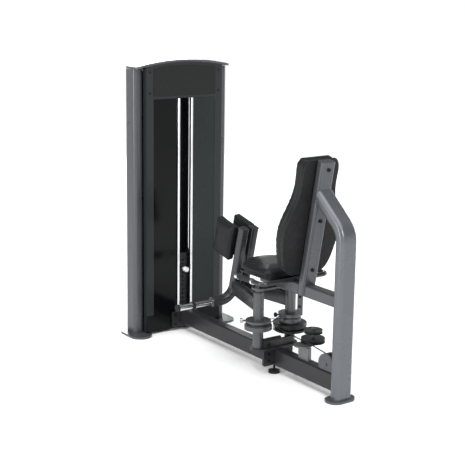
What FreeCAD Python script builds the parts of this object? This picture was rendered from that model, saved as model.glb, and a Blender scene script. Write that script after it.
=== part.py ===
"""Seated hip machine: weight tower, base beam, seat, back rest and two swinging leg arms.

Origin at the middle of the machine on the floor, +Z up, +Y from the seat towards the tower.
"""
import FreeCAD, Part
import math
import os
import re

# ---------------------------------------------------------------- driving dimensions
DIMENSIONS = (
    ("half_length", 795, "from the middle to either end of the machine"),
    ("plate_thick", 12, "floor plates and welded plates"),
    ("tube_wall", 4, "wall of the large frame tubes"),
    ("column_inner", 248, "inner face of a tower column from the middle"),
    ("column_wide", 60, "tower column across X"),
    ("column_deep", 100, "tower column along Y"),
    ("column_front", 663, "front face of the tower columns"),
    ("column_top", 1503, "top of the tower columns"),
    ("tower_front", 630, "front plane of the tower panels"),
    ("panel_thick", 4, "tower sheet panels"),
    ("header_low", 1339, "lower edge of the header"),
    ("kick_top", 113, "top of the kick panels"),
    ("cap_top", 1551, "highest point of the top cap"),
    ("cap_radius", 1380, "radius of the arched top cap"),
    ("cap_half", 309, "half width of the top cap"),
    ("cap_thick", 12, "thickness of the top cap"),
    ("inner_bezel", 204, "inner edge of the tower bezel strips"),
    ("slot_half", 45, "half width of the slot between the panels"),
    ("rail_radius", 7, "bright rails beside the slot"),
    ("rod_offset", 70, "guide rods from the middle"),
    ("rod_radius", 10, "guide rods"),
    ("rod_line", 689, "line of the guide rods and the stack's stem"),
    ("stack_half", 125, "half width of a weight plate"),
    ("stack_deep", 90, "depth of a weight plate"),
    ("stack_low", 122, "underside of the lowest weight plate"),
    ("stack_pitch", 25, "spacing of the weight plates"),
    ("stack_gap", 0.5, "gap between weight plates"),
    ("stem_radius", 11, "stem of the weight stack"),
    ("pin_radius", 5, "selector pin"),
    ("beam_half", 30, "half width of the base beam and the seat tube"),
    ("beam_low", 41, "underside of the base beam"),
    ("beam_top", 130, "top of the base beam"),
    ("beam_rear", 720.7, "rear end of the base beam behind the middle"),
    ("beam_front", 616, "front end of the base beam"),
    ("pivot_x", 104, "pivot axis from the middle"),
    ("pivot_y", 219, "pivot axes behind the middle"),
    ("shaft_radius", 18, "pivot shafts"),
    ("bore_play", 0.05, "running clearance on a shaft"),
    ("sleeve_radius", 28, "outside of an arm's pivot sleeve"),
    ("sleeve_top", 436, "top of the pivot sleeves"),
    ("shelf_half", 140, "half width of the pivot cross plates"),
    ("seat_low", 462, "underside of the seat tube"),
    ("seat_top", 522, "top of the seat tube"),
    ("cushion_half", 165, "half width of the seat cushion"),
    ("cushion_top", 583, "top of the seat cushion"),
    ("post_wide", 100, "rear post across X"),
    ("post_deep", 60, "rear post along Y"),
    ("post_line", 751, "centre line of the rear post behind the middle"),
    ("post_corner", 837, "height where the post's two centre lines meet"),
    ("post_bend", 110, "bend radius of the rear post"),
    ("post_rise", 40, "degrees the post's upper run climbs"),
    ("back_lean", 10.65, "degrees the back column leans"),
    ("back_wide", 84, "back column across X"),
    ("back_deep", 48, "back column front to back"),
    ("handle_x", 208, "handle tubes from the middle"),
    ("handle_radius", 12, "handle tube"),
    ("arm_x", 31.5, "upright of an arm from the middle"),
    ("arm_wide", 45, "arm tube across X"),
    ("arm_deep", 48, "arm tube along Y"),
    ("arm_top", 711, "top of an arm's upright"),
    ("arm_low", 311, "height of the foot peg"),
    ("arm_slope", 0.244, "lean of the upright, along Y for each unit of height"),
    ("arm_bend", 78, "bend radius of the arm tube"),
    ("peg_radius", 16, "foot peg"),
    ("cable_radius", 3, "drive cable"),
    ("tie_radius", 2.3, "tie cable between the arms"),
    ("cable_line", 222, "height of the cable on the cam and the guide pulley"),
    ("cam_radius", 78, "cable radius on the cam"),
    ("tie_wrap", 55, "cable radius of the tie drums"),
    ("guide_wrap", 55, "cable radius on the guide pulley"),
    ("rear_wrap", 45, "cable radius on the rear pulley"),
    ("tower_wrap", 30, "cable radius on the lower tower pulley"),
    ("upper_wrap", 43, "cable radius on the top pulley"),
    ("axle_radius", 8, "pulley axles"),
)

doc = FreeCAD.newDocument("hip_machine")
sheet = doc.addObject("Spreadsheet::Sheet", "Dims")
for row, (alias, value, meaning) in enumerate(DIMENSIONS, 1):
    sheet.set("A%d" % row, meaning)
    sheet.set("B%d" % row, str(value))
    sheet.setAlias("B%d" % row, alias)
doc.recompute()

ALIASES = {alias for alias, value, meaning in DIMENSIONS}
NODES = {}
X_AXIS = FreeCAD.Vector(1, 0, 0)
Y_AXIS = FreeCAD.Vector(0, 1, 0)
Z_AXIS = FreeCAD.Vector(0, 0, 1)


def dim(alias):
    """Value of one sheet cell."""
    return float(sheet.get(alias))


def vec(x, y, z):
    return FreeCAD.Vector(x, y, z)


# ---------------------------------------------------------------- document helpers
def bind(piece, prop, text):
    """Bind a property to an expression that uses the sheet's aliases."""
    full = re.sub(r"[a-z_]+", lambda m: "Dims." + m.group(0) if m.group(0) in ALIASES else m.group(0),
                  str(text))
    piece.setExpression(prop, full)


def place(piece, base):
    for axis, text in zip("xyz", base):
        bind(piece, "Placement.Base." + axis, text)


def box(name, size, base):
    """Box from three size expressions and the expressions of its low corner."""
    piece = doc.addObject("Part::Box", name)
    for prop, text in zip(("Length", "Width", "Height"), size):
        bind(piece, prop, text)
    place(piece, base)
    return piece


def rod(name, radius, length, base, axis=Z_AXIS):
    """Cylinder that starts at base and runs along axis."""
    piece = doc.addObject("Part::Cylinder", name)
    bind(piece, "Radius", radius)
    bind(piece, "Height", length)
    piece.Placement = FreeCAD.Placement(vec(0, 0, 0), FreeCAD.Rotation(Z_AXIS, axis))
    place(piece, base)
    return piece


def cut(name, base, *tools):
    """Base with every tool taken out of it."""
    for number, tool in enumerate(tools):
        piece = doc.addObject("Part::Cut", "%s_%d" % (name, number))
        piece.Base = base
        piece.Tool = tool
        base = piece
    return base


def fuse(name, *shapes):
    piece = doc.addObject("Part::MultiFuse", name)
    piece.Shapes = list(shapes)
    piece.Refine = True
    return piece


def group(name, *links):
    piece = doc.addObject("Part::Compound", name)
    piece.Links = list(links)
    return piece


def mirrored(name, source):
    """Copy of a piece on the other side of the middle plane."""
    piece = doc.addObject("Part::Mirroring", name)
    piece.Source = source
    piece.Normal = X_AXIS
    piece.Base = vec(0, 0, 0)
    return piece


def pair(name, source):
    return group(name, source, mirrored(name + "_other", source))


def rounded(name, base, axis, radius):
    """Fillet of the straight edges that run along axis."""
    doc.recompute()
    edges = []
    for number, edge in enumerate(base.Shape.Edges, 1):
        if edge.Curve.TypeId != "Part::GeomLine":
            continue
        run = edge.Vertexes[-1].Point - edge.Vertexes[0].Point
        if run.cross(axis).Length < 1e-6 * run.Length:
            edges.append((number, radius, radius))
    piece = doc.addObject("Part::Fillet", name)
    piece.Base = base
    piece.Edges = edges
    return piece


def stadium(name, wide, deep, thick, centre):
    """Plate with half-round ends; wide runs along X, deep along Y."""
    x, y, z = centre
    short_is_x = wide[0] < deep[0]
    radius = "(%s)/2" % (wide[1] if short_is_x else deep[1])
    straight = "(%s)-(%s)" % ((deep[1], wide[1]) if short_is_x else (wide[1], deep[1]))
    if short_is_x:
        middle = box(name + "_bar", (wide[1], straight, thick),
                     ("(%s)-%s" % (x, radius), "(%s)-(%s)/2" % (y, straight), z))
        ends = [(x, "(%s)%s(%s)/2" % (y, sign, straight)) for sign in "+-"]
    else:
        middle = box(name + "_bar", (straight, deep[1], thick),
                     ("(%s)-(%s)/2" % (x, straight), "(%s)-%s" % (y, radius), z))
        ends = [("(%s)%s(%s)/2" % (x, sign, straight), y) for sign in "+-"]
    rounds = [rod("%s_end_%d" % (name, i), radius, thick, (ex, ey, z)) for i, (ex, ey) in enumerate(ends)]
    return fuse(name, middle, *rounds)


def feature(name, shape):
    """Object for a shape worked out from the sheet's values."""
    piece = doc.addObject("Part::Feature", name)
    piece.Shape = shape
    piece.Placement = shape.Placement
    return piece


def padded_outline(name, edges, thick, plane, base):
    """PartDesign body: a closed sketch padded by a thickness."""
    body = doc.addObject("PartDesign::Body", name)
    sketch = body.newObject("Sketcher::SketchObject", name + "_sketch")
    origin_plane = [item for item in body.Origin.OriginFeatures if item.Role == plane][0]
    sketch.AttachmentSupport = [(origin_plane, "")]
    sketch.MapMode = "FlatFace"
    for edge in edges:
        sketch.addGeometry(edge, False)
    pad = body.newObject("PartDesign::Pad", name + "_pad")
    pad.Profile = sketch
    bind(pad, "Length", thick)
    place(body, base)
    return body


def line(start, end):
    return Part.LineSegment(vec(*start, 0), vec(*end, 0))


def arc(start, middle, end):
    return Part.Arc(vec(*start, 0), vec(*middle, 0), vec(*end, 0))


def keep(label, piece):
    """Name a finished sub-part; the label is also its file's name."""
    piece.Label = label
    NODES[label] = piece
    return piece


# ---------------------------------------------------------------- bent and turned shapes
def bent_path(points, radii):
    """Straight runs joined by tangent arcs, one radius for each inner point."""
    edges = []
    start = points[0]
    for before, corner, after, radius in zip(points, points[1:], points[2:], radii):
        back = (before - corner).normalize()
        ahead = (after - corner).normalize()
        half = back.getAngle(ahead) / 2
        reach = radius / math.tan(half)
        centre = corner + (back + ahead).normalize() * (radius / math.sin(half))
        middle = centre + (corner - centre).normalize() * radius
        first = corner + back * reach
        last = corner + ahead * reach
        edges.append(Part.LineSegment(start, first).toShape())
        edges.append(Part.Arc(first, middle, last).toShape())
        start = last
    edges.append(Part.LineSegment(start, points[-1]).toShape())
    return Part.Wire(edges)


def section(centre, across, along, wide, deep, corner):
    """Rounded rectangle in the plane of two directions."""
    turns = ((0, -1), (1, -1), (1, 1), (-1, 1), (-1, -1), (0, -1))
    points = [centre + across * (a * wide / 2) + along * (b * deep / 2) for a, b in turns]
    return bent_path(points, [corner] * 4)


def box_tube(path, centre, across, along, wide, deep, corner, wall):
    """Outer solid and hollow tube swept along a path."""
    outer = path.makePipeShell([section(centre, across, along, wide, deep, corner)], True, False)
    inner = path.makePipeShell(
        [section(centre, across, along, wide - 2 * wall, deep - 2 * wall, corner - wall / 2)], True, False)
    return outer, outer.cut(inner)


def round_bar(path, start, direction, radius):
    ring = Part.Wire([Part.Circle(start, direction, radius).toShape()])
    return path.makePipeShell([ring], True, False)


def turned(profile):
    """Solid of revolution about Z from a closed list of (radius, height) points."""
    points = [vec(radius, 0, height) for radius, height in profile]
    face = Part.Face(Part.makePolygon(points + points[:1]))
    return face.revolve(vec(0, 0, 0), Z_AXIS, 360)


def pulley_shape(outer, wrap, width, cord):
    """Pulley about Z, centred on its groove; the cord's centre line runs at wrap."""
    bore = dim("axle_radius") + dim("bore_play")
    floor = wrap - cord - 0.3
    half = width / 2
    rim = min(half - 1.5, cord + 3)
    return turned([(bore, -half), (outer, -half), (outer, -rim), (floor, -cord - 0.5), (floor, cord + 0.5),
                   (outer, rim), (outer, half), (bore, half)])


def turn_to_x(shape, centre):
    """Move a shape made about Z so that its axis runs along X through centre."""
    shape.Placement = FreeCAD.Placement(centre, FreeCAD.Rotation(Z_AXIS, X_AXIS))
    return shape


# ---------------------------------------------------------------- weight tower
def build_tower_frame():
    shell = rounded("column_shell", box("column_box", ("column_wide", "column_deep", "column_top-plate_thick"),
                                        ("column_inner", "column_front", "plate_thick")), Z_AXIS, 22)
    hollow = box("column_hollow",
                 ("column_wide-2*tube_wall", "column_deep-2*tube_wall", "column_top"),
                 ("column_inner+tube_wall", "column_front+tube_wall", "plate_thick"))
    hollow = rounded("column_hollow_round", hollow, Z_AXIS, 18)
    keep("tower_columns", pair("tower_columns", cut("column", shell, hollow)))

    foot = stadium("tower_foot", (128, "128"), (220, "220"), "plate_thick",
                   ("column_inner+38", "half_length-110", "0"))
    rear = stadium("rear_foot", (160, "160"), (100, "100"), "plate_thick", ("0", "50-half_length", "0"))
    keep("floor_plates", group("floor_plates", foot, mirrored("tower_foot_other", foot), rear))

    base = box("base_bar", ("2*column_inner-1", "40", "64"), ("0.5-column_inner", "tower_front+36", "20"))
    stub = box("base_stub", ("168", "36", "60"), ("-84", "tower_front", "24"))
    cheek = box("base_cheek", ("4", "59", "50"), ("12", "tower_front+76", "60"))
    axle = rod("base_axle", "axle_radius", "24", ("-12", "745", "86"), X_AXIS)
    passage = rod("base_passage", "9", "90", ("0", "tower_front-5", "59.5"), Y_AXIS)
    body = cut("base_with_passage", fuse("base_bars", base, stub), passage)
    keep("base_crossmember", fuse("base_crossmember", body, cheek, mirrored("base_cheek_other", cheek), axle))

    top = box("top_bar", ("2*column_inner-1", "40", "40"), ("0.5-column_inner", "tower_front+36", "1455"))
    hanger = box("top_cheek", ("4", "50", "110"), ("12", "tower_front+76", "1385"))
    spindle = rod("top_axle", "axle_radius", "24", ("-12", "732", "1400"), X_AXIS)
    keep("top_crossmember", fuse("top_crossmember", top, hanger, mirrored("top_cheek_other", hanger), spindle))


def arch_height(x, crown):
    """Height of the arched top at x for a given crown height."""
    radius = dim("cap_radius")
    return crown - radius + math.sqrt(radius * radius - x * x)


def build_tower_skin():
    half = dim("cap_half")
    crown = dim("cap_top")
    under = crown - dim("cap_thick")
    upper = arc((-half, arch_height(half, crown)), (0, crown), (half, arch_height(half, crown)))
    lower = arc((-half, arch_height(half, under)), (0, under), (half, arch_height(half, under)))
    ends = [line((side * half, arch_height(half, crown)), (side * half, arch_height(half, under)))
            for side in (-1, 1)]
    cap = padded_outline("top_cap", [upper, lower] + ends, "141", "XZ_Plane", ("0", "tower_front+137", "0"))
    keep("top_cap", rounded("top_cap_round", cap, Z_AXIS, 30))

    edge = dim("column_inner") + 2
    low = dim("header_low")
    crest = under - 0.4
    side_top = arch_height(edge, crest)
    outline = [line((-edge, low), (edge, low)), line((edge, low), (edge, side_top)),
               arc((edge, side_top), (0, crest), (-edge, side_top)), line((-edge, side_top), (-edge, low))]
    header = padded_outline("header_panel", outline, "panel_thick", "XZ_Plane",
                            ("0", "tower_front+panel_thick", "0"))
    keep("header_panel", header)

    inner = dim("inner_bezel")
    plate_low = low + 13
    plate_crest = crest - 16
    plate_side = arch_height(inner, plate_crest)
    outline = [line((-inner, plate_low), (inner, plate_low)), line((inner, plate_low), (inner, plate_side)),
               arc((inner, plate_side), (0, plate_crest), (-inner, plate_side)),
               line((-inner, plate_side), (-inner, plate_low))]
    keep("header_inset", padded_outline("header_inset", outline, "2", "XZ_Plane", ("0", "tower_front", "0")))

    face = box("bezel_face", ("column_inner+2-inner_bezel", "3", "header_low-kick_top"),
               ("inner_bezel", "tower_front", "kick_top"))
    wall = box("bezel_wall", ("3", "column_front-tower_front", "header_low-kick_top"),
               ("inner_bezel", "tower_front", "kick_top"))
    outer_wall = box("bezel_outer", ("3", "column_front-tower_front", "header_low-kick_top"),
                     ("column_inner-1", "tower_front", "kick_top"))
    closer = box("bezel_return", ("3", "column_front-tower_front-panel_thick-0.1", "column_top-plate_thick-1"),
                 ("column_inner-1", "tower_front+panel_thick+0.1", "plate_thick+1"))
    keep("front_bezel", pair("front_bezel", fuse("bezel_strip", face, wall, outer_wall, closer)))

    panel = box("panel_right", ("inner_bezel-slot_half-0.5", "panel_thick", "header_low-kick_top"),
                ("slot_half", "tower_front+1", "kick_top"))
    keep("right_panel", panel)
    keep("left_panel", mirrored("panel_left", panel))
    kick = box("kick", ("164", "panel_thick", "kick_top-plate_thick-1.3"),
               ("86", "tower_front", "plate_thick+1"))
    keep("kick_panels", pair("kick_panels", kick))
    rail = rod("rail", "rail_radius", "header_low-kick_top",
               ("slot_half-2", "tower_front-rail_radius", "kick_top"))
    keep("slot_rails", pair("slot_rails", rail))

    block = box("shroud_box", ("492", "half_length-708", "1530"), ("-246", "708", "20"))
    shell = rounded("shroud_shell", block, Z_AXIS, 6)
    room = box("shroud_room", ("486", "half_length-708", "1560"), ("-243", "705", "15"))
    side_top = arch_height(260, crest)
    outline = [arc((-260, side_top), (0, crest), (260, side_top)), line((260, side_top), (260, crown + 60)),
               line((260, crown + 60), (-260, crown + 60)), line((-260, crown + 60), (-260, side_top))]
    above = padded_outline("above_shroud", outline, "120", "XZ_Plane", ("0", "half_length+5", "0"))
    lid = box("shroud_lid", ("487", "half_length-770", "3"), ("-243.5", "768", "column_top-3"))
    keep("rear_shroud", fuse("rear_shroud", cut("shroud", shell, room, above), lid))


def build_stack():
    guide = rod("guide", "rod_radius", "1455-84", ("rod_offset", "rod_line", "84"))
    keep("guide_rods", pair("guide_rods", guide))
    ring = cut("bumper", rod("bumper_body", "30", "stack_low-84", ("rod_offset", "rod_line", "84")),
               rod("bumper_bore", "rod_radius+0.3", "60", ("rod_offset", "rod_line", "80")))
    keep("stack_bumpers", pair("stack_bumpers", ring))

    def weight(name, number, thick):
        """One weight plate with its rod holes, stem hole and selector hole."""
        low = "stack_low+%d*stack_pitch" % number
        front = "rod_line-stack_deep/2"
        block = box(name + "_block", ("2*stack_half", "stack_deep", thick), ("-stack_half", front, low))
        block = rounded(name + "_round", block, Z_AXIS, 8)
        holes = [rod("%s_hole_%s" % (name, tag), "rod_radius+0.5", "60",
                     (sign + "rod_offset", "rod_line", low + "-5")) for tag, sign in (("a", ""), ("b", "-"))]
        bore = rod(name + "_bore", "stem_radius+0.5", "60", ("0", "rod_line", low + "-5"))
        socket = rod(name + "_socket", "pin_radius+0.4", "70",
                     ("0", front + "-5", low + "+(stack_pitch-stack_gap)/2"), Y_AXIS)
        return cut(name, block, holes[0], holes[1], bore, socket)

    resting = [weight("rest_plate_%d" % number, number, "stack_pitch-stack_gap") for number in range(9)]
    keep("resting_plates", group("resting_plates", *resting))
    lifted = [weight("lift_plate_%d" % number, number, "stack_pitch-stack_gap") for number in range(9, 12)]
    keep("lifted_plates", group("lifted_plates", *lifted))

    head = box("head_block", ("2*stack_half", "stack_deep", "28"),
               ("-stack_half", "rod_line-stack_deep/2", "stack_low+12*stack_pitch"))
    head = rounded("head_round", head, Z_AXIS, 8)
    head = cut("head_holes", head, *[
        rod("head_hole_" + tag, "rod_radius+0.5", "80", (sign + "rod_offset", "rod_line", "400"))
        for tag, sign in (("a", ""), ("b", "-"))])
    stem = rod("stem", "stem_radius", "335", ("0", "rod_line", "135"))
    socket = rod("stem_socket", "pin_radius+0.3", "80",
                 ("0", "rod_line-40", "stack_low+9*stack_pitch+(stack_pitch-stack_gap)/2"), Y_AXIS)
    keep("head_plate", fuse("head_plate", head, cut("stem_drilled", stem, socket)))

    height = "stack_low+9*stack_pitch+(stack_pitch-stack_gap)/2"
    pin = rod("pin_rod", "pin_radius", "76", ("0", "tower_front-8", height), Y_AXIS)
    knob = rod("pin_knob", "14", "22", ("0", "tower_front-30", height), Y_AXIS)
    keep("selector_pin", fuse("selector_pin", pin, knob))

    keep("top_pulley", feature("top_pulley", turn_to_x(
        pulley_shape(50, dim("upper_wrap"), 20, dim("cable_radius")), vec(0, 732, 1400))))
    keep("tower_pulley", feature("tower_pulley", turn_to_x(
        pulley_shape(33, dim("tower_wrap"), 20, dim("cable_radius")), vec(0, 745, 86))))


# ---------------------------------------------------------------- base, pivots and pulleys
def build_base():
    beam = rounded("beam_round", box("beam_box", ("2*beam_half", "beam_front+beam_rear", "beam_top-beam_low"),
                                     ("-beam_half", "-beam_rear", "beam_low")), Y_AXIS, 8)
    hollow = box("beam_hollow", ("2*beam_half-2*tube_wall", "2*half_length", "beam_top-beam_low-2*tube_wall"),
                 ("tube_wall-beam_half", "-half_length", "beam_low+tube_wall"))
    slot = box("beam_slot", ("28", "104", "20"), ("-14", "-710", "beam_top-10"))
    flange = rounded("flange_round", box("flange_box", ("168", "14", "88"), ("-84", "beam_front", "24")),
                     Y_AXIS, 8)
    hole = rod("flange_hole", "9", "40", ("0", "beam_front-20", "61"), Y_AXIS)
    keep("base_beam", fuse("base_beam", cut("beam", beam, hollow, slot), cut("flange", flange, hole)))

    shelf = stadium("pivot_shelf", (280, "2*shelf_half"), (110, "110"), "plate_thick",
                    ("0", "-1-pivot_y", "beam_top"))
    wing = box("wing_box", ("64.5", "12", "beam_top-44"), ("beam_half+0.5", "-259", "44"))
    wing = rounded("wing_round", wing, Y_AXIS, 10)
    upper = rounded("upright_round", box("upright_box", ("190", "12", "38"), ("-95", "-259", "beam_top+plate_thick")),
                    Y_AXIS, 5)
    keep("pivot_cross_plate", fuse("pivot_cross_plate", shelf, wing, mirrored("wing_other", wing), upper))
    bumper = rounded("bumper_round", box("bumper_box", ("104", "18", "15"), ("-92", "-265", "180")), X_AXIS, 5)
    keep("stop_bumper", bumper)

    foot = fuse("levelling", rod("level_disc", "30", "13", ("-20", "-253", "0")),
                rod("level_neck", "13", "19", ("-20", "-253", "0")),
                rod("level_stud", "6", "beam_low", ("-20", "-253", "0")))
    keep("levelling_foot", foot)

    posts = []
    for tag, sign, top in (("left", "-", 240), ("right", "", 188)):
        post = rod("post_" + tag, "27.5", "%d-beam_top-plate_thick" % top,
                   (sign + "pivot_x", "-pivot_y", "beam_top+plate_thick"))
        shaft = rod("shaft_" + tag, "shaft_radius", "seat_low-10-beam_top-plate_thick",
                    (sign + "pivot_x", "-pivot_y", "beam_top+plate_thick"))
        posts.append(fuse("column_" + tag, post, shaft))
    keep("pivot_columns", group("pivot_columns", *posts))

    blade = rounded("hanger_round", box("hanger_box", ("4", "40", "112"), ("-2", "-444", "350")), X_AXIS, 6)
    keep("slotted_hanger", blade)


def build_pulleys():
    guide_x, guide_y = 55, -467
    stand = rounded("stand_round", box("stand_box", ("26", "76", "66"), ("-13", "-510", "beam_top")), Z_AXIS, 5)
    disc = rod("stand_disc", "46", "7", ("0", "-456", "196"))
    ear = rod("stand_ear", "20", "7", ("55", "-467", "196"))
    web = box("stand_web", ("55", "40", "7"), ("0", "-487", "196"))
    axle = rod("guide_axle", "axle_radius", "82", ("55", "-467", "203"))
    keep("pulley_pedestal", fuse("pulley_pedestal", stand, disc, ear, web, axle))

    lower = pulley_shape(61, dim("guide_wrap"), 22, dim("cable_radius"))
    lower.Placement = FreeCAD.Placement(vec(guide_x, guide_y, dim("cable_line")), FreeCAD.Rotation())
    upper = pulley_shape(48, 44, 16, dim("cable_radius"))
    upper.Placement = FreeCAD.Placement(vec(guide_x, guide_y, 268), FreeCAD.Rotation())
    keep("guide_pulleys", feature("guide_pulleys", Part.Compound([lower, upper])))

    cheek = cut("cheek", rod("cheek_disc", "56", "6", ("15", "-658", "159"), X_AXIS),
                box("cheek_trim", ("40", "160", "60"), ("0", "-738", "beam_top-60")))
    axle = rod("rear_axle", "axle_radius", "50", ("-25", "-658", "159"), X_AXIS)
    keep("pulley_cheeks", fuse("pulley_cheeks", cheek, mirrored("cheek_other", cheek), axle))
    keep("rear_pulley", feature("rear_pulley", turn_to_x(
        pulley_shape(50, dim("rear_wrap"), 24, dim("cable_radius")), vec(0, -658, 159))))


# ---------------------------------------------------------------- seat, back rest and handles
def back_frame():
    """Placement whose local Z runs up the back column's rear face and local Y points forward."""
    return FreeCAD.Placement(vec(0, -512, 601), FreeCAD.Rotation(X_AXIS, dim("back_lean")))


def back_outline(inset):
    """Closed outline of the back rest in its own plane, waisted at shoulder height."""
    top, bottom = 561 - inset, -44 + inset
    side = ((86, top), (104, top - 20), (112, 455), (116, 385), (142, 303), (168, 238), (178, 170),
            (172, 110), (160, 55), (138, -2), (96, bottom))
    side = [(x - inset, s) for x, s in side]
    right = Part.BSplineCurve()
    right.interpolate([vec(x, 0, s) for x, s in side])
    left = Part.BSplineCurve()
    left.interpolate([vec(-x, 0, s) for x, s in reversed(side)])
    low = Part.LineSegment(vec(side[-1][0], 0, bottom), vec(-side[-1][0], 0, bottom))
    high = Part.LineSegment(vec(-side[0][0], 0, top), vec(side[0][0], 0, top))
    return Part.Wire([curve.toShape() for curve in (right, low, left, high)])


def build_seat():
    tube = rounded("seat_tube_round", box("seat_tube_box", ("2*beam_half", "beam_rear-130", "seat_top-seat_low"),
                                          ("-beam_half", "-beam_rear", "seat_low")), Y_AXIS, 8)
    hollow = box("seat_tube_hollow", ("2*beam_half-2*tube_wall", "beam_rear", "seat_top-seat_low-2*tube_wall"),
                 ("tube_wall-beam_half", "-beam_rear-130-tube_wall", "seat_low+tube_wall"))
    keep("seat_tube", cut("seat_tube", tube, hollow))
    plate = rounded("seat_plate_round", box("seat_plate_box", ("260", "275", "6"), ("-130", "-345", "seat_top")),
                    Z_AXIS, 30)
    keep("seat_base_plate", plate)
    shelf = stadium("seat_shelf", (280, "2*shelf_half"), (92, "92"), "10", ("0", "-pivot_y", "seat_low-10"))
    keep("seat_cross_plate", shelf)

    half = dim("cushion_half")
    low = dim("seat_top") + 6.3
    corners = (vec(0, -358, low), vec(half, -358, low), vec(half, -40, low), vec(-half, -40, low),
               vec(-half, -358, low), vec(0, -358, low))
    outline = bent_path(corners, (45, 158, 158, 45))
    pad = Part.Face(outline).extrude(vec(0, 0, dim("cushion_top") - low))
    rims = [edge for edge in pad.Edges if abs(edge.BoundBox.ZMin - edge.BoundBox.ZMax) < 0.1
            and edge.BoundBox.ZMin > low + 1]
    keep("seat_cushion", feature("seat_cushion", pad.makeFillet(26, rims)))


def build_back():
    half = dim("back_wide") / 2
    deep = dim("back_deep")
    bar = Part.makeBox(2 * half, deep, 740, vec(-half, 0, -185))
    bar = bar.makeFillet(15, [edge for edge in bar.Edges if edge.BoundBox.ZLength > 700])
    wall = dim("tube_wall")
    room = Part.makeBox(2 * (half - wall), deep - 2 * wall, 720, vec(wall - half, wall, -200))
    column = bar.cut(room)
    column.Placement = back_frame()
    notch = Part.makeBox(2 * dim("beam_half") + 1, 400, dim("seat_top") + 0.3,
                         vec(-dim("beam_half") - 0.5, -700, 0))
    floor = Part.makeBox(400, 500, 470, vec(-200, -800, 0))
    keep("back_column", feature("back_column", column.cut(notch).cut(floor)))

    board = Part.Face(back_outline(6)).extrude(vec(0, 12, 0))
    board.Placement = back_frame().multiply(FreeCAD.Placement(vec(0, deep + 0.1, 0), FreeCAD.Rotation()))
    keep("backrest_board", feature("backrest_board", board))
    pad = Part.Face(back_outline(0)).extrude(vec(0, 62, 0))
    pad.Placement = back_frame().multiply(FreeCAD.Placement(vec(0, deep + 12.2, 0), FreeCAD.Rotation()))
    keep("backrest_cushion", feature("backrest_cushion", pad))

    line_y = -dim("post_line")
    rise = math.radians(dim("post_rise"))
    corner = vec(0, line_y, dim("post_corner"))
    path = bent_path([vec(0, line_y, dim("plate_thick")), corner,
                      corner + vec(0, math.cos(rise), math.sin(rise)) * 330], [dim("post_bend")])
    foot = vec(0, line_y, dim("plate_thick"))
    outer, post = box_tube(path, foot, X_AXIS, Y_AXIS, dim("post_wide"), dim("post_deep"), 22, wall)
    ahead = Part.makeBox(400, 400, 1200, vec(-200, -0.05, -400))
    ahead.Placement = back_frame()
    keep("rear_post", feature("rear_post", post.cut(ahead)))


def build_handles():
    x, radius = dim("handle_x"), dim("handle_radius")
    height, cross, tip = 526, -383, -173
    points = [vec(-x, tip, height), vec(-x, cross, height), vec(x, cross, height), vec(x, tip, height)]
    bar = round_bar(bent_path(points, [32, 32]), points[0], Y_AXIS, radius)
    seat_bar = Part.makeBox(2 * dim("beam_half"), 80, 60, vec(-dim("beam_half"), cross - 40, dim("seat_low")))
    saddle = Part.makeBox(2 * dim("beam_half"), 30, height + 8 - dim("seat_top"),
                          vec(-dim("beam_half"), cross - 15, dim("seat_top")))
    keep("handlebar", feature("handlebar", bar.cut(seat_bar).fuse(saddle)))

    grip_rear, grip_front = tip - 123, tip - 15
    grip = cut("grip", rod("grip_body", "14.2", "%d" % (grip_front - grip_rear),
                           ("handle_x", "%d" % grip_rear, "526"), Y_AXIS),
               rod("grip_bore", "handle_radius", "200", ("handle_x", "-330", "526"), Y_AXIS))
    keep("handle_grips", pair("handle_grips", grip))
    knob = Part.makeSphere(20, vec(x, tip - 7, height))
    knob = knob.common(Part.makeCylinder(15.6, 40, vec(x, grip_front, height), Y_AXIS))
    knob = knob.cut(Part.makeCylinder(radius, tip - grip_front, vec(x, grip_front, height), Y_AXIS))
    ring = Part.makeCylinder(15.6, 14, vec(x, grip_rear - 14, height), Y_AXIS)
    ring = ring.cut(Part.makeCylinder(radius, 40, vec(x, grip_rear - 30, height), Y_AXIS))
    keep("grip_caps", pair("grip_caps", feature("grip_cap", Part.Compound([knob, ring]))))


def build_bolts():
    """Every visible socket bolt head, as one group of separate solids."""
    heads = []
    lean = back_frame()
    for along in (0, 258, 519):
        head = Part.makeCylinder(9, 6, vec(0, 0, along), vec(0, -1, 0))
        head = head.cut(Part.makeCylinder(4.5, 4, vec(0, -3, along), vec(0, -1, 0)))
        head.Placement = lean
        heads.append(head)
    for side in (-1, 1):
        for y in (-248, -190):
            heads.append(Part.makeCylinder(8, 6, vec(side * 116, y, dim("seat_low") ), Z_AXIS))
        for height in (72, 108):
            heads.append(Part.makeCylinder(7, 5, vec(side * 62, -259, height), vec(0, -1, 0)))
        for height in (40, 96):
            heads.append(Part.makeCylinder(7, 6, vec(side * 66, dim("beam_front"), height), vec(0, -1, 0)))
        for height in (1371, 1486):
            heads.append(Part.makeCylinder(6, 3, vec(side * 226, dim("tower_front"), height), vec(0, -1, 0)))
    heads.append(Part.makeCylinder(8, 6, vec(-60, -259, 158), vec(0, -1, 0)))
    for height in (444, 394):
        plug = Part.makeBox(3, 18, 11, vec(-5, -433, height - 5.5))
        heads.append(plug.makeFillet(4, [edge for edge in plug.Edges if edge.BoundBox.XLength > 2]))
    keep("frame_bolts", feature("frame_bolts", Part.Compound(heads)))


# ---------------------------------------------------------------- leg arms
def sleeve_shape(profile):
    """Pivot sleeve from the outer profile; the ends of the bore are the bushes."""
    tight = dim("shaft_radius") + dim("bore_play")
    top = dim("sleeve_top")
    low = profile[0][1]
    bore = [(22, top - 30), (22, low + 30)]
    return turned([(tight, low)] + profile + [(dim("sleeve_radius"), top), (tight, top), (tight, top - 30)]
                  + bore + [(tight, low + 30)])


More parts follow.
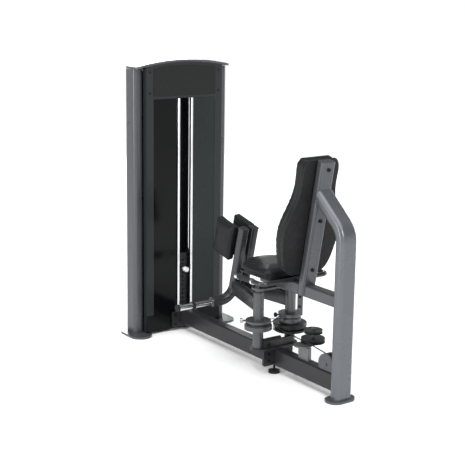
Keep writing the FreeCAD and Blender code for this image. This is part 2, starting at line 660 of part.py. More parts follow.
def rom_pin(name, centre, angle, height, barrel_start, drum):
    """Spring pull pin on a drum: returns the drum with its barrel and keeps the pin."""
    direction = vec(math.cos(math.radians(angle)), math.sin(math.radians(angle)), 0)
    base = centre + vec(0, 0, height)
    barrel = Part.makeCylinder(5.2, 13, base + direction * barrel_start, direction)
    hole = Part.makeCylinder(3.4, 60, base + direction * (barrel_start - 14), direction)
    shaft = Part.makeCylinder(3, 27, base + direction * (barrel_start - 12), direction)
    knob = Part.makeCylinder(12.5, 14, base + direction * (barrel_start + 15), direction)
    knob = knob.makeFillet(2.5, [edge for edge in knob.Edges if edge.Curve.TypeId == "Part::GeomCircle"])
    keep(name, feature(name, shaft.fuse(knob)))
    return drum.fuse(barrel).cut(hole)


def build_sleeves():
    wrap = dim("tie_wrap") - dim("tie_radius") - 0.3
    radius = dim("sleeve_radius")
    left_centre = vec(-dim("pivot_x"), -dim("pivot_y"), 0)
    right_centre = vec(dim("pivot_x"), -dim("pivot_y"), 0)
    left = sleeve_shape([(71, 242), (71, 264), (58, 267), (65, 267), (65, 268.8), (wrap, 268.8),
                         (wrap, 279.2), (65, 279.2), (65, 290), (radius, 290)])
    left.Placement = FreeCAD.Placement(left_centre, FreeCAD.Rotation())
    left = rom_pin("left_pull_pin", left_centre, 146.7, 284.6, 64.5, left)
    keep("left_pivot_sleeve", feature("left_pivot_sleeve", left))

    line_z = dim("cable_line")
    floor = dim("cam_radius") - dim("cable_radius") - 0.3
    right = sleeve_shape([(44, 191), (44, 202), (86, 202), (89, 205), (89, line_z - 8), (floor, line_z - 3.5),
                          (floor, line_z + 3.5), (89, line_z + 8), (89, 243), (86, 246), (58, 246),
                          (58, 268.8), (wrap, 268.8), (wrap, 279.2), (58, 279.2), (58, 292), (63, 292),
                          (63, 296), (radius, 296)])
    right.Placement = FreeCAD.Placement(right_centre, FreeCAD.Rotation())
    right = rom_pin("right_pull_pin", right_centre, 157.2, 286, 57.5, right)
    keep("right_pivot_sleeve", feature("right_pivot_sleeve", right))


def upright_y(height):
    """Y of the upright's centre line at a height."""
    return 76 + (468 - height) * dim("arm_slope")


def build_arms():
    x, top, low = dim("arm_x"), dim("arm_top"), dim("arm_low")
    crest = vec(-x, upright_y(top), top)
    heel = vec(-x, upright_y(low), low)
    toe = vec(-163, upright_y(low), low)
    down = (heel - crest).normalize()
    across = down.cross(X_AXIS).normalize()
    path = bent_path([crest, heel, toe], [dim("arm_bend")])
    outer, tube = box_tube(path, crest, X_AXIS, across, dim("arm_wide"), dim("arm_deep"), 12, 3)
    cap = Part.Face(section(crest, X_AXIS, across, 48, 51, 13)).extrude(down * -4)
    end = Part.Face(section(toe, down, across, dim("arm_wide"), dim("arm_deep"), 12)).extrude(vec(3, 0, 0))

    root = vec(-dim("pivot_x"), -dim("pivot_y"), 368)
    tip = vec(-x, upright_y(382), 382)
    run = tip - root
    side = run.cross(Z_AXIS).normalize()
    rise = side.cross(run).normalize()
    straight = Part.Wire([Part.LineSegment(root, tip).toShape()])
    solid, strut = box_tube(straight, root, side, rise, 40, 82, 14, 3)
    sleeve = Part.makeCylinder(dim("sleeve_radius"), 300, vec(root.x, root.y, 200), Z_AXIS)
    strut = strut.cut(sleeve).cut(outer)
    arm = tube.fuse([cap, end, strut]).removeSplitter()
    keep("left_arm_tube", feature("left_arm_tube", arm))

    tilt = math.degrees(math.atan(dim("arm_slope")))
    lean = FreeCAD.Placement(vec(0, 149, 641), FreeCAD.Rotation(X_AXIS, tilt))
    board = Part.makeBox(8, 150, 150, vec(-29.8, -104, -75))
    board = board.makeFillet(16, [edge for edge in board.Edges if edge.BoundBox.XLength > 7])
    board.Placement = lean
    board = board.cut(outer)
    board = max(board.Solids, key=lambda solid: solid.Volume)
    pad = Part.makeBox(50, 162, 212, vec(-80, -81, -106))
    pad = pad.makeFillet(16, pad.Edges)
    pad.Placement = lean
    keep("left_pad_board", feature("left_pad_board", board))
    keep("left_knee_pad", feature("left_knee_pad", pad))

    peg_y = "%r" % upright_y(low)
    peg = cut("peg", rod("peg_body", "peg_radius", "209", ("-372", peg_y, "arm_low"), X_AXIS),
              rod("peg_bore", "peg_radius-3", "205", ("-373", peg_y, "arm_low"), X_AXIS))
    keep("left_foot_peg", peg)
    collar = cut("collar", rod("collar_body", "20", "16", ("-290", peg_y, "arm_low"), X_AXIS),
                 rod("collar_bore", "peg_radius", "40", ("-300", peg_y, "arm_low"), X_AXIS))
    stop = rod("peg_stop", "19", "12", ("-384", peg_y, "arm_low"), X_AXIS)
    keep("left_peg_trim", group("left_peg_trim", collar, stop))
    for part_name in ("arm_tube", "pad_board", "knee_pad", "foot_peg", "peg_trim"):
        keep("right_" + part_name, mirrored("right_" + part_name, NODES["left_" + part_name]))


# ---------------------------------------------------------------- cables
def around(centre, radius, start, end, plane):
    """Arc about a centre; angles in degrees, in the XY or the YZ plane."""
    def at(angle):
        c = radius * math.cos(math.radians(angle))
        s = radius * math.sin(math.radians(angle))
        return centre + (vec(c, s, 0) if plane == "XY" else vec(0, c, s))
    return at(start), Part.Arc(at(start), at((start + end) / 2), at(end)).toShape(), at(end)


def outer_tangent(first, first_radius, second, second_radius, side):
    """Angle of the normal of a line touching two circles on the same side, in degrees."""
    reach = math.hypot(second[0] - first[0], second[1] - first[1])
    heading = math.atan2(second[1] - first[1], second[0] - first[0])
    return math.degrees(heading + side * math.acos((first_radius - second_radius) / reach))


def build_drive_cable():
    level = dim("cable_line")
    cam = vec(dim("pivot_x"), -dim("pivot_y"), level)
    guide = vec(55, -467, level)
    rear = vec(0, -658, 159)
    tower = vec(0, 745, 86)
    top = vec(0, 732, 1400)
    leave = outer_tangent((cam.x, cam.y), dim("cam_radius"), (guide.x, guide.y), dim("guide_wrap"), -1) % 360
    start, wrap_cam, a = around(cam, dim("cam_radius"), 60, leave, "XY")
    b, wrap_guide, c = around(guide, dim("guide_wrap"), leave, 180, "XY")
    knee = vec(0, -490, level)
    reach = math.hypot(rear.y - knee.y, rear.z - knee.z)
    heading = math.atan2(rear.z - knee.z, rear.y - knee.y) - math.asin(dim("rear_wrap") / reach)
    onto_rear = math.degrees(heading) - 90
    off_rear = outer_tangent((rear.y, rear.z), dim("rear_wrap"), (tower.y, tower.z), dim("tower_wrap"), -1)
    e, wrap_rear, f = around(rear, dim("rear_wrap"), onto_rear % 360, off_rear % 360, "YZ")
    g, wrap_tower, i = around(tower, dim("tower_wrap"), off_rear, 0, "YZ")
    j, wrap_top = around(top, dim("upper_wrap"), 0, 180, "YZ")[:2]
    bend = bent_path([c, knee, e], [80])
    edges = [wrap_cam, Part.LineSegment(a, b).toShape(), wrap_guide] + bend.Edges
    edges += [wrap_rear, Part.LineSegment(f, g).toShape(), wrap_tower]
    edges += [Part.LineSegment(i, j).toShape(), wrap_top]
    path = Part.Wire(edges)
    away = math.radians(60)
    cable = round_bar(path, start, vec(-math.sin(away), math.cos(away), 0), dim("cable_radius"))
    expected = path.Length * math.pi * dim("cable_radius") ** 2
    print("drive cable length %.0f volume ratio %.4f" % (path.Length, cable.Volume / expected))
    keep("drive_cable", feature("drive_cable", cable))
    lift = rod("lift_run", "cable_radius", "1400-470", ("0", "rod_line", "470"))
    keep("lift_cable", lift)


def build_tie_cable():
    """Two crossed runs that make the arms turn opposite ways."""
    wrap, radius = dim("tie_wrap"), dim("tie_radius")
    x, y = dim("pivot_x"), -dim("pivot_y")
    lean = math.degrees(math.acos(wrap / x))
    runs = []
    for level, side in ((271.5, -1), (276.5, 1)):
        left, right = vec(-x, y, level), vec(x, y, level)
        start, wrap_left, a = around(left, wrap, side * (lean + 70), side * lean, "XY")
        b, wrap_right, end = around(right, wrap, 180 + side * lean, 180 + side * (lean + 70), "XY")
        path = Part.Wire([wrap_left, Part.LineSegment(a, b).toShape(), wrap_right])
        angle = math.radians(side * (lean + 70))
        heading = vec(-math.sin(angle), math.cos(angle), 0)
        runs.append(round_bar(path, start, heading, radius))
    keep("tie_cable", feature("tie_cable", Part.Compound(runs)))


# ---------------------------------------------------------------- build and export
build_tower_frame()
build_tower_skin()
build_stack()
build_base()
build_pulleys()
build_seat()
build_back()
build_handles()
build_bolts()
build_sleeves()
build_arms()
build_drive_cable()
build_tie_cable()
doc.recompute()

for item in doc.Objects:
    if "Invalid" in item.State or "Error" in item.State:
        raise RuntimeError("failed object: " + item.Name)
for label, piece in NODES.items():
    if piece.Shape.isNull() or not piece.Shape.isValid():
        raise RuntimeError("bad shape: " + label)
os.makedirs("parts", exist_ok=True)
for label, piece in NODES.items():
    piece.Shape.exportStep(os.path.join("parts", label + ".step"))
print("wrote %d nodes" % len(NODES))
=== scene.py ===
"""Seated hip machine: materials, upholstery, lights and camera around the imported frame."""
import bpy
import math
from mathutils import Matrix, Vector
from mathutils.kdtree import KDTree


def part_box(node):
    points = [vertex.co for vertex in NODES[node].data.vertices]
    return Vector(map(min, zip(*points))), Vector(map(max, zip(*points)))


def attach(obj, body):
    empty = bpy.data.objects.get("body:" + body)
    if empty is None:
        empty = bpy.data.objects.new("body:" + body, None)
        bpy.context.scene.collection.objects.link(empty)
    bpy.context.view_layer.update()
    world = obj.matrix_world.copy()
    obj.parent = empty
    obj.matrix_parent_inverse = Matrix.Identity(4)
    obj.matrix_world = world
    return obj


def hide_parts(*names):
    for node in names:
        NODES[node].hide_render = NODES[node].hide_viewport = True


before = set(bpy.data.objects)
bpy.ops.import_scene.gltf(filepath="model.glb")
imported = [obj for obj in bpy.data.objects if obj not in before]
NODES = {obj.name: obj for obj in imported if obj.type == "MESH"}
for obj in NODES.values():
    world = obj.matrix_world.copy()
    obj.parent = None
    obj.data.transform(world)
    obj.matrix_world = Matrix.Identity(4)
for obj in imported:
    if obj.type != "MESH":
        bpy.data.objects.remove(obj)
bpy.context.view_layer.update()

# ---------------------------------------------------------------- camera
CAMERA_PLACE = Vector((-3.450, -4.6005, 1.985))
HEADING, PITCH, ROLL = (math.radians(angle) for angle in (35.93, 12.69, 0.841))
LENS_MM = 87.08
SENSOR_MM = 36


def add_camera():
    """Heading turns from +Y towards +X, pitch looks down, roll tips the frame about the view."""
    forward = Vector((math.sin(HEADING) * math.cos(PITCH),
                      math.cos(HEADING) * math.cos(PITCH),
                      -math.sin(PITCH)))
    level = Vector((math.cos(HEADING), -math.sin(HEADING), 0))
    above = level.cross(forward)
    right = level * math.cos(ROLL) + above * math.sin(ROLL)
    up = above * math.cos(ROLL) - level * math.sin(ROLL)
    data = bpy.data.cameras.new("camera")
    data.lens = LENS_MM
    data.sensor_width = SENSOR_MM
    camera = bpy.data.objects.new("camera", data)
    turn = Matrix((right, up, -forward)).transposed().to_4x4()
    camera.matrix_world = Matrix.Translation(CAMERA_PLACE) @ turn
    bpy.context.scene.collection.objects.link(camera)
    bpy.context.scene.camera = camera


# ---------------------------------------------------------------- materials
MIX_FIRST, MIX_SECOND, MIX_RESULT = 6, 7, 2  # colour sockets of a Mix node
CAM_TOP = (0.2475, 0.2485)  # heights in metres between which the cast cam gives way to its hub


class Shader:
    """A material with one Principled shader and small helpers for its procedural inputs."""

    def __init__(self, name, color, roughness, metallic=0.0):
        self.material = bpy.data.materials.new(name)
        self.material.use_nodes = True
        self.tree = self.material.node_tree
        self.surface = self.tree.nodes["Principled BSDF"]
        self.place = self.tree.nodes.new("ShaderNodeTexCoord").outputs["Object"]
        self.color = color
        self.put("Base Color", (*color, 1))
        self.put("Roughness", roughness)
        self.put("Metallic", metallic)
        self.height = None

    def put(self, socket, value):
        """Set a constant on the shader."""
        self.surface.inputs[socket].default_value = value

    def node(self, kind, **values):
        """Add a node and set its properties."""
        node = self.tree.nodes.new(kind)
        for key, value in values.items():
            setattr(node, key, value)
        return node

    def link(self, source, target):
        self.tree.links.new(source, target)

    def noise(self, scale, detail, stretch=(1, 1, 1)):
        """Noise over the object's own coordinates, in cycles per metre."""
        mapping = self.node("ShaderNodeMapping")
        mapping.inputs["Scale"].default_value = stretch
        self.link(self.place, mapping.inputs["Vector"])
        noise = self.node("ShaderNodeTexNoise")
        noise.inputs["Scale"].default_value = scale
        noise.inputs["Detail"].default_value = detail
        self.link(mapping.outputs["Vector"], noise.inputs["Vector"])
        return noise.outputs["Fac"]

    def span(self, source, low, high, start=0.3, end=0.7):
        """Map the range start..end of a texture to low..high."""
        ranged = self.node("ShaderNodeMapRange")
        for socket, value in (("From Min", start), ("From Max", end),
                              ("To Min", low), ("To Max", high)):
            ranged.inputs[socket].default_value = value
        self.link(source, ranged.inputs["Value"])
        return ranged.outputs["Result"]

    def vary_color(self, source, low, high, start=0.3, end=0.7):
        """Base colour that drifts between a darker and a lighter tone."""
        ramp = self.node("ShaderNodeValToRGB")
        for element, place, factor in zip(ramp.color_ramp.elements, (start, end), (low, high)):
            element.position = place
            element.color = (*[min(1.0, channel * factor) for channel in self.color], 1)
        self.link(source, ramp.inputs["Fac"])
        self.link(ramp.outputs["Color"], self.surface.inputs["Base Color"])

    def vary_roughness(self, source, low, high):
        """Roughness that drifts between low and high."""
        self.link(self.span(source, low, high), self.surface.inputs["Roughness"])

    def bump(self, source, strength, distance):
        """Add a height layer; layers stack."""
        bump = self.node("ShaderNodeBump")
        bump.inputs["Strength"].default_value = strength
        bump.inputs["Distance"].default_value = distance
        self.link(source, bump.inputs["Height"])
        if self.height is not None:
            self.link(self.height, bump.inputs["Normal"])
        self.height = bump.outputs["Normal"]
        self.link(self.height, self.surface.inputs["Normal"])


def powder_coat(name, color, roughness=0.3, metallic=0.5):
    """Satin powder coat: faint orange peel, metallic fleck and slight handling marks."""
    shader = Shader(name, color, roughness, metallic)
    shader.vary_color(shader.noise(1400, 2), 0.94, 1.07)
    shader.vary_roughness(shader.noise(9, 5), roughness - 0.04, roughness + 0.06)
    shader.bump(shader.noise(420, 3), 0.03, 0.0004)
    shader.put("Specular IOR Level", 0.3)
    shader.put("Coat Weight", 0.08)
    shader.put("Coat Roughness", 0.2)
    return shader.material


def cam_coat(name, low, high):
    """Dark cast cam below, the lighter painted hub above it."""
    shader = Shader(name, low, 0.34, 0.45)
    split = shader.node("ShaderNodeSeparateXYZ")
    shader.link(shader.place, split.inputs["Vector"])
    mix = shader.node("ShaderNodeMix", data_type="RGBA")
    mix.inputs[MIX_FIRST].default_value = (*low, 1)
    mix.inputs[MIX_SECOND].default_value = (*high, 1)
    shader.link(shader.span(split.outputs["Z"], 0, 1, *CAM_TOP), mix.inputs[0])
    shader.link(mix.outputs[MIX_RESULT], shader.surface.inputs["Base Color"])
    shader.vary_roughness(shader.noise(9, 5), 0.3, 0.4)
    shader.bump(shader.noise(420, 3), 0.08, 0.0005)
    return shader.material


def gloss_sheet(name, color, roughness):
    """Smoked or tinted plastic sheet with faint smears and a slight waviness."""
    shader = Shader(name, color, roughness)
    shader.vary_color(shader.noise(2.2, 2, (1, 1, 0.4)), 0.8, 1.25)
    shader.vary_roughness(shader.noise(16, 6, (1, 1, 0.3)), roughness, roughness + 0.1)
    shader.bump(shader.noise(3.5, 1), 0.06, 0.004)
    shader.put("Specular IOR Level", 0.16)
    return shader.material


def bright_metal(name, color, roughness, stretch):
    """Plated or brushed metal with fine lengthwise lines."""
    shader = Shader(name, color, roughness, 1.0)
    shader.vary_color(shader.noise(120, 4, stretch), 0.88, 1.05)
    shader.vary_roughness(shader.noise(600, 3, stretch), roughness * 0.7, roughness * 1.5)
    shader.bump(shader.noise(900, 2, stretch), 0.05, 0.0003)
    return shader.material


def moulded(name, color, roughness, grain=700):
    """Moulded plastic: fine stipple and a little wear."""
    shader = Shader(name, color, roughness)
    shader.vary_color(shader.noise(40, 4), 0.8, 1.25)
    shader.vary_roughness(shader.noise(60, 4), roughness - 0.08, roughness + 0.1)
    shader.bump(shader.noise(grain, 2), 0.2, 0.0005)
    shader.put("Specular IOR Level", 0.25)
    return shader.material


def ribbed_rubber(name, color, axis):
    """Grip rubber with rings across one axis."""
    shader = Shader(name, color, 0.75)
    wave = shader.node("ShaderNodeTexWave", wave_type="BANDS", bands_direction=axis)
    wave.inputs["Scale"].default_value = 60
    wave.inputs["Distortion"].default_value = 0.0
    shader.link(shader.place, wave.inputs["Vector"])
    shader.vary_color(shader.noise(90, 4), 0.75, 1.3)
    shader.bump(wave.outputs["Fac"], 0.5, 0.0012)
    shader.bump(shader.noise(1500, 2), 0.25, 0.0004)
    return shader.material


def cable_sleeve(name, color):
    """Nylon coated steel cable: the strands show faintly through the coat."""
    shader = Shader(name, color, 0.38)
    wave = shader.node("ShaderNodeTexWave", wave_type="BANDS", bands_direction="DIAGONAL")
    wave.inputs["Scale"].default_value = 160
    shader.link(shader.place, wave.inputs["Vector"])
    shader.vary_color(wave.outputs["Fac"], 0.7, 1.4)
    shader.bump(wave.outputs["Fac"], 0.3, 0.0006)
    return shader.material


def upholstery(name, color):
    """Matte vinyl: pebbled grain, soft creases and a light sheen."""
    shader = Shader(name, color, 0.5)
    cells = shader.node("ShaderNodeTexVoronoi", feature="F1")
    cells.inputs["Scale"].default_value = 620
    shader.link(shader.place, cells.inputs["Vector"])
    shader.vary_color(shader.noise(26, 5), 0.88, 1.14)
    shader.vary_roughness(shader.noise(45, 4), 0.4, 0.52)
    shader.bump(shader.noise(16, 3), 0.15, 0.003)
    shader.bump(cells.outputs["Distance"], 0.25, 0.0005)
    shader.put("Specular IOR Level", 0.22)
    shader.put("Sheen Weight", 0.02)
    shader.put("Sheen Roughness", 0.5)
    return shader.material


def make_materials():
    """All materials, keyed as in NODE_MATERIALS."""
    along_x, along_y, along_z = (0.03, 1, 1), (1, 0.03, 1), (1, 1, 0.03)
    return {
        "frame": powder_coat("frame_coat", (0.084, 0.089, 0.097)),
        "arm": powder_coat("arm_coat", (0.052, 0.055, 0.060), 0.25, 0.6),
        # painted light: the rear post's grey is set lighter than the frame grey, standing in for
        # lamp light on its lit rear face
        "post": powder_coat("lit_post_coat", (0.125, 0.133, 0.146), 0.28, 0.55),
        "beam": powder_coat("beam_coat", (0.029, 0.029, 0.031), 0.34, 0.4),
        "column": powder_coat("column_coat", (0.082, 0.087, 0.094), 0.3, 0.5),
        "header": powder_coat("header_coat", (0.018, 0.022, 0.023), 0.36, 0.2),
        "inset": powder_coat("inset_coat", (0.003, 0.004, 0.004), 0.3, 0.0),
        "smoked": gloss_sheet("smoked_sheet", (0.0016, 0.0019, 0.0021), 0.1),
        "tinted": gloss_sheet("tinted_sheet", (0.0155, 0.0205, 0.0205), 0.2),
        "drum": powder_coat("drum_coat", (0.082, 0.087, 0.091), 0.3, 0.5),
        "cam": cam_coat("cam_coat", (0.012, 0.014, 0.013), (0.115, 0.122, 0.126)),
        "plate": powder_coat("plate_coat", (0.135, 0.142, 0.150), 0.34, 0.5),
        "black": powder_coat("black_coat", (0.004, 0.004, 0.0045), 0.38, 0.1),
        "bolt": moulded("bolt_black", (0.002, 0.002, 0.002), 0.5),
        "pulley": moulded("pulley_nylon", (0.005, 0.010, 0.008), 0.36),
        "rail": bright_metal("rail_chrome", (0.86, 0.87, 0.89), 0.12, along_z),
        "peg": bright_metal("peg_chrome", (0.80, 0.81, 0.83), 0.16, along_x),
        "grip_cap": bright_metal("cap_chrome", (0.80, 0.81, 0.83), 0.18, along_y),
        "knob": bright_metal("knob_steel", (0.42, 0.43, 0.44), 0.22, along_y),
        "rubber": moulded("black_rubber", (0.009, 0.009, 0.010), 0.7, 900),
        "grip": ribbed_rubber("grip_rubber", (0.009, 0.009, 0.010), "Y"),
        "pin": moulded("pin_white", (0.62, 0.63, 0.64), 0.3),
        "cable": cable_sleeve("cable_coat", (0.014, 0.015, 0.016)),
        "board": moulded("board_black", (0.010, 0.010, 0.011), 0.6, 260),
        "vinyl": upholstery("black_vinyl", (0.0065, 0.0075, 0.008)),
    }


NODE_MATERIALS = {
    "plate": ("pulley_pedestal",),
    "frame": ("floor_plates", "top_cap", "pivot_columns", "pulley_cheeks", "seat_tube",
              "seat_cross_plate", "back_column"),
    "arm": ("handlebar", "left_arm_tube", "right_arm_tube"),
    "post": ("rear_post",),
    "beam": ("base_beam", "base_crossmember", "top_crossmember", "pivot_cross_plate"),
    "column": ("tower_columns",),
    "header": ("header_panel", "front_bezel"),
    "inset": ("header_inset",),
    "smoked": ("left_panel", "kick_panels"),
    "tinted": ("right_panel", "rear_shroud"),
    "drum": ("left_pivot_sleeve", "slotted_hanger"),
    "cam": ("right_pivot_sleeve",),
    "black": ("seat_base_plate", "resting_plates", "lifted_plates", "head_plate", "right_pull_pin"),
    "bolt": ("frame_bolts",),
    "pulley": ("guide_pulleys", "rear_pulley", "top_pulley", "tower_pulley"),
    "rail": ("slot_rails", "guide_rods"),
    "peg": ("left_foot_peg", "right_foot_peg"),
    "knob": ("left_pull_pin",),
    "grip_cap": ("grip_caps",),
    "rubber": ("stop_bumper", "levelling_foot", "stack_bumpers", "left_peg_trim", "right_peg_trim"),
    "grip": ("handle_grips",),
    "pin": ("selector_pin",),
    "cable": ("drive_cable", "tie_cable", "lift_cable"),
    "board": ("backrest_board", "left_pad_board", "right_pad_board"),
    "vinyl": ("seat_cushion", "backrest_cushion", "left_knee_pad", "right_knee_pad"),
}


def dress_nodes(materials):
    """Give every carried-over node its material."""
    for key, names in NODE_MATERIALS.items():
        for name in names:
            slots = NODES[name].data.materials
            if not slots:
                slots.append(materials[key])
            for index in range(len(slots)):
                slots[index] = materials[key]


# ---------------------------------------------------------------- upholstery
VOXEL = 0.006
SHRINK = 0.004
CLOTH_FRAMES = 20
CLOTH_PRESSURE = 4
STRETCH_STIFFNESS = 20
BEND_STIFFNESS = 2
SIDE_BAND = (0.35, 0.65)  # shares of the thickness that count as the side wall
RIM_DROP = 0.45  # how far the rim falls below the face, in crowns
WAIST_PLACE, WAIST_SPREAD = 0.3, 0.16  # where the sides are pulled in, in shares of the thickness
BACK_LEAN = 10.65  # degrees


def copy_of(node, name):
    """New object with a copy of a CAD node's mesh."""
    piece = bpy.data.objects.new(name, NODES[node].data.copy())
    bpy.context.scene.collection.objects.link(piece)
    return piece


def apply_modifiers(piece):
    """Keep the evaluated mesh and drop the modifiers that made it."""
    graph = bpy.context.evaluated_depsgraph_get()
    mesh = bpy.data.meshes.new_from_object(piece.evaluated_get(graph))
    piece.modifiers.clear()
    piece.data = mesh


def remesh(piece):
    """Even voxel skin, fine enough for cloth."""
    modifier = piece.modifiers.new("voxels", "REMESH")
    modifier.mode = "VOXEL"
    modifier.voxel_size = VOXEL
    apply_modifiers(piece)


def shrink(piece, amount):
    """Step inside the CAD solid, so the swollen cover ends near its surface."""
    normals = [vertex.normal.copy() for vertex in piece.data.vertices]
    for vertex, normal in zip(piece.data.vertices, normals):
        vertex.co -= normal * amount


def inflate(piece, cap):
    """Swell the cover with cloth pressure; no point moves further than cap."""
    start = [vertex.co.copy() for vertex in piece.data.vertices]
    cloth = piece.modifiers.new("cover", "CLOTH")
    cloth.settings.use_pressure = True
    cloth.settings.uniform_pressure_force = CLOTH_PRESSURE
    cloth.settings.effector_weights.gravity = 0
    cloth.settings.tension_stiffness = STRETCH_STIFFNESS
    cloth.settings.compression_stiffness = STRETCH_STIFFNESS
    cloth.settings.bending_stiffness = BEND_STIFFNESS
    cloth.point_cache.frame_start = 1
    cloth.point_cache.frame_end = CLOTH_FRAMES
    for number in range(1, CLOTH_FRAMES + 1):
        bpy.context.scene.frame_set(number)
    apply_modifiers(piece)
    bpy.context.scene.frame_set(1)
    for vertex, origin in zip(piece.data.vertices, start):
        moved = vertex.co - origin
        if moved.length > cap:
            vertex.co = origin + moved * (cap / moved.length)


def subdivide(piece):
    """One level finer, shaded smooth."""
    modifier = piece.modifiers.new("smooth", "SUBSURF")
    modifier.levels = 1
    modifier.render_levels = 1
    apply_modifiers(piece)
    for polygon in piece.data.polygons:
        polygon.use_smooth = True


def smoothstep(value):
    """0 to 1 with soft ends."""
    value = max(0.0, min(1.0, value))
    return value * value * (3 - 2 * value)


def tailor(piece, origin, face, crown, roll, seams, waist):
    """Crown the face, roll its rim over, pull the sides in and sew the seams.

    origin lies on the back plane, face is the outward normal of the padded side. A seam is
    (place, depth, width, on_side): a share of the thickness on the side wall, or else a
    distance in from the rim on the face.
    """
    mesh = piece.data
    face = face.normalized()
    depth = [(vertex.co - origin).dot(face) for vertex in mesh.vertices]
    thick = max(depth)
    side = [vertex.index for vertex in mesh.vertices
            if SIDE_BAND[0] * thick < depth[vertex.index] < SIDE_BAND[1] * thick
            and abs(vertex.normal.dot(face)) < 0.5]
    rim = KDTree(len(side))
    for index in side:
        point = mesh.vertices[index].co
        rim.insert(point - face * (point - origin).dot(face), index)
    rim.balance()
    shifts = []
    for vertex in mesh.vertices:
        height = depth[vertex.index]
        flat = vertex.co - face * height
        inward = rim.find(flat)[2]
        facing = smoothstep((height / thick - 0.5) * 2)
        shift = face * (crown * facing * (smoothstep(inward / roll) - RIM_DROP))
        outward = vertex.normal - face * vertex.normal.dot(face)
        if outward.length > 0.3:
            pinch = math.exp(-((height / thick - WAIST_PLACE) / WAIST_SPREAD) ** 2)
            shift -= outward.normalized() * waist * pinch
        for place, deep, wide, on_side in seams:
            gap = (height / thick - place) * thick if on_side else inward - place
            if on_side and outward.length < 0.4:
                continue
            if not on_side and (facing < 0.5 or vertex.normal.dot(face) < 0.3):
                continue
            shift -= vertex.normal * deep * math.exp(-(gap / wide) ** 2)
        shifts.append(shift)
    for vertex, shift in zip(mesh.vertices, shifts):
        vertex.co += shift
    mesh.update()


def upholster(node, name, body, origin, face, cap, fill, material, **style):
    """Replace a plain CAD cushion with a swollen, sewn cover riding the same body."""
    piece = copy_of(node, name)
    remesh(piece)
    shrink(piece, SHRINK)
    inflate(piece, cap)
    subdivide(piece)
    tailor(piece, origin, face, **style)
    piece.data.materials.clear()
    piece.data.materials.append(material)
    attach(piece, body)
    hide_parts(node)


def make_soft_goods(materials):
    """Covers of the seat, the back rest and the two knee pads."""
    vinyl = materials["vinyl"]
    low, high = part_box("seat_cushion")
    upholster("seat_cushion", "seat_cover", "frame",
              Vector((0, 0, low.z)), Vector((0, 0, 1)), 0.006, 0.8, vinyl,
              crown=0.008, roll=0.09, seams=((0.45, 0.0028, 0.0035, True),), waist=0.003)
    lean = math.radians(BACK_LEAN)
    low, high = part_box("backrest_cushion")
    back = Vector((0, low.y, high.z))
    face = Vector((0, math.cos(lean), math.sin(lean)))
    plane = min((vertex.co - back).dot(face) for vertex in NODES["backrest_cushion"].data.vertices)
    upholster("backrest_cushion", "backrest_cover", "frame",
              back + face * plane, face, 0.006, 0.8, vinyl, crown=0.012, roll=0.06,
              seams=((0.022, 0.003, 0.0035, False), (0.3, 0.002, 0.003, True)), waist=0.002)
    for side, sign in (("left", -1), ("right", 1)):
        node = side + "_knee_pad"
        low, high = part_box(node)
        inner = high.x if sign < 0 else low.x
        upholster(node, side + "_knee_cover", side + "_arm",
                  Vector((inner, 0, 0)), Vector((sign, 0, 0)), 0.005, 0.85, vinyl,
                  crown=0.007, roll=0.045, seams=((0.5, 0.002, 0.003, True),), waist=0.0015)


# ---------------------------------------------------------------- floor and lights
FLOOR_HALF = 150  # metres; far enough that its edge is never seen


def area_light(name, place, target, size, power):
    """Rectangular lamp aimed at target; size is (width, height)."""
    data = bpy.data.lights.new(name, "AREA")
    data.shape = "RECTANGLE"
    data.size, data.size_y = size
    data.energy = power
    light = bpy.data.objects.new(name, data)
    place = Vector(place)
    aim = (Vector(target) - place).to_track_quat("-Z", "Y").to_matrix().to_4x4()
    light.matrix_world = Matrix.Translation(place) @ aim
    bpy.context.scene.collection.objects.link(light)


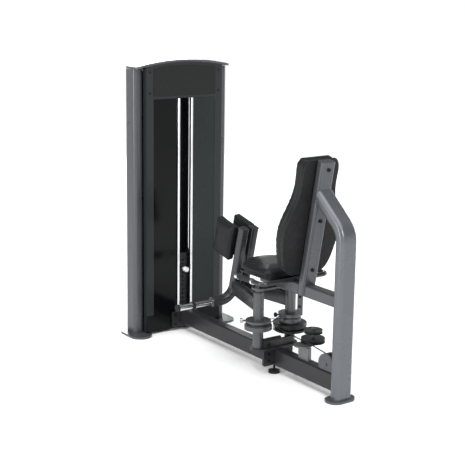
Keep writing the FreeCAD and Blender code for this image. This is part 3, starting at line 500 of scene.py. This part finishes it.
def soft_sun(name, place, power, spread):
    """Wide sun shining from the direction of place; spread in degrees."""
    data = bpy.data.lights.new(name, "SUN")
    data.energy = power
    data.angle = math.radians(spread)
    light = bpy.data.objects.new(name, data)
    light.matrix_world = (-Vector(place)).to_track_quat("-Z", "Y").to_matrix().to_4x4()
    bpy.context.scene.collection.objects.link(light)


def add_floor():
    mesh = bpy.data.meshes.new("floor")
    corners = [(x * FLOOR_HALF, y * FLOOR_HALF, 0) for x, y in ((-1, -1), (1, -1), (1, 1), (-1, 1))]
    mesh.from_pydata(corners, [], [(0, 1, 2, 3)])
    floor = bpy.data.objects.new("floor", mesh)
    bpy.context.scene.collection.objects.link(floor)
    shader = Shader("floor_white", (0.9, 0.9, 0.9), 0.8)
    shader.vary_color(shader.noise(2, 2), 0.99, 1.01)
    mesh.materials.append(shader.material)


def add_world():
    """White surroundings, bright up to just over the horizon and dim overhead."""
    world = bpy.data.worlds.new("studio")
    bpy.context.scene.world = world
    world.use_nodes = True
    tree = world.node_tree
    sky = tree.nodes["Background"]
    sky.inputs["Color"].default_value = (1, 1, 1, 1)
    direction = tree.nodes.new("ShaderNodeTexCoord").outputs["Generated"]
    split = tree.nodes.new("ShaderNodeSeparateXYZ")
    fade = tree.nodes.new("ShaderNodeMapRange")
    for socket, value in (("From Min", 0.08), ("From Max", 0.24),
                          ("To Min", 1.0), ("To Max", 0.17)):
        fade.inputs[socket].default_value = value
    tree.links.new(direction, split.inputs["Vector"])
    tree.links.new(split.outputs["Z"], fade.inputs["Value"])
    tree.links.new(fade.outputs["Result"], sky.inputs["Strength"])


def add_lights():
    soft_sun("sky", (-1.0, -1.0, 5.0), 3.25, 75)
    area_light("key", (-4.6, 0.2, 1.7), (0, 0, 0.8), (0.7, 2.6), 90)
    area_light("fill", (-1.6, -5.6, 3.4), (0, 0, 0.7), (1.6, 1.6), 150)
    area_light("back", (2.8, 6.0, 2.6), (0, 0, 0.8), (1.8, 2.4), 130)
    area_light("side", (5.6, 0.4, 2.0), (0, 0, 0.8), (1.0, 2.4), 80)
    bpy.context.scene.view_settings.view_transform = "Standard"


add_camera()
MATERIALS = make_materials()
dress_nodes(MATERIALS)
make_soft_goods(MATERIALS)
add_floor()
add_world()
add_lights()
